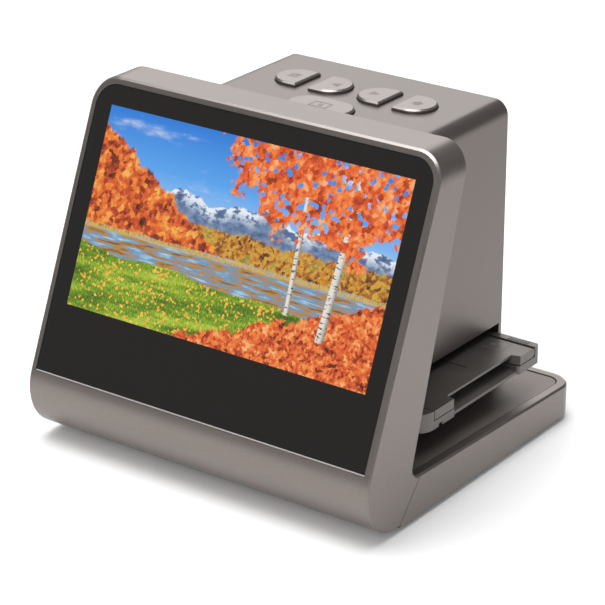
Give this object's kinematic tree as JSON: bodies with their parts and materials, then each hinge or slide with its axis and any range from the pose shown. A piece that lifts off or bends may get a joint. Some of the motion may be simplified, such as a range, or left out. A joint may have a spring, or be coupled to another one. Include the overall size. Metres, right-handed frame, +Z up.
{
  "type": "film negative scanner",
  "caption": "Desktop film negative scanner with a large leaning screen, push buttons on its tower and a hinged film holder that slides through a slot.",
  "frame": {"origin": "on the table, under the middle of the bounding box", "axes": "+X viewer's right along the screen's width, +Y to the back, +Z up; the screen faces -Y and leans back"},
  "size_m": [0.127, 0.1158, 0.1099],
  "materials": {
    "grey_casing": "satin metallic paint on moulded plastic",
    "key_cap": "satin metallic paint, chamfered edge",
    "black_glass": "gloss cover glass with black printed border",
    "display": "display module",
    "steel": "pressed or drawn steel",
    "board_green": "solder mask",
    "dark_plastic": "fine grain moulded plastic",
    "holder_plastic": "fine grain moulded plastic",
    "rubber": "soft rubber",
    "opal": "opal light diffuser",
    "optic_glass": "coated lens"
  },
  "bodies": {
    "housing": {"screen_housing": "grey_casing", "screen_glass": "black_glass", "lcd_panel": "display", "lcd_bracket": "steel", "main_board": "board_green", "screen_back_cover": "grey_casing", "base_housing": "grey_casing", "base_top_panel": "grey_casing", "bottom_cover": "dark_plastic", "rubber_feet": "rubber", "base_screws": "steel", "tower_housing": "grey_casing", "tower_foot": "grey_casing", "button_board": "board_green", "tact_switches": "dark_plastic", "usb_socket": "steel", "video_socket": "steel", "card_socket": "steel", "socket_board": "board_green", "light_box": "dark_plastic", "diffuser": "opal", "led_board": "board_green", "gate_plate": "dark_plastic", "lens_hood": "dark_plastic", "camera_bracket": "dark_plastic", "lens_barrel": "dark_plastic", "lens": "optic_glass", "sensor_board": "board_green"},
    "holder": {"holder_frame": "holder_plastic", "hinge_pins": "steel"},
    "lid": {"holder_lid": "holder_plastic"},
    "menu_button": {"menu_button": "key_cap"},
    "left_button": {"left_button": "key_cap"},
    "right_button": {"right_button": "key_cap"},
    "home_button": {"home_button": "key_cap"},
    "scan_button": {"scan_button": "key_cap"}
  },
  "joints": [
    {"name": "holder_slide", "type": "slide", "parent": "housing", "child": "holder", "axis": [1, 0, 0], "range_m": [-0.1, 0.1]},
    {"name": "lid_hinge", "type": "hinge", "parent": "holder", "child": "lid", "pos_m": [0, 0.0404, 0.0255], "axis": [-1, 0, 0], "range_deg": [0, 2.5]},
    {"name": "menu_press", "type": "slide", "parent": "housing", "child": "menu_button", "axis": [0, 0, -1], "range_m": [0, 0.0008], "stiffness_N_per_m": 700, "springref_m": -0.0006},
    {"name": "left_press", "type": "slide", "parent": "housing", "child": "left_button", "axis": [0, 0, -1], "range_m": [0, 0.0008], "stiffness_N_per_m": 700, "springref_m": -0.0006},
    {"name": "right_press", "type": "slide", "parent": "housing", "child": "right_button", "axis": [0, 0, -1], "range_m": [0, 0.0008], "stiffness_N_per_m": 700, "springref_m": -0.0006},
    {"name": "home_press", "type": "slide", "parent": "housing", "child": "home_button", "axis": [0, 0, -1], "range_m": [0, 0.0008], "stiffness_N_per_m": 700, "springref_m": -0.0006},
    {"name": "scan_press", "type": "slide", "parent": "housing", "child": "scan_button", "axis": [0, 0, -1], "range_m": [0, 0.0008], "stiffness_N_per_m": 700, "springref_m": -0.0006}
  ]
}
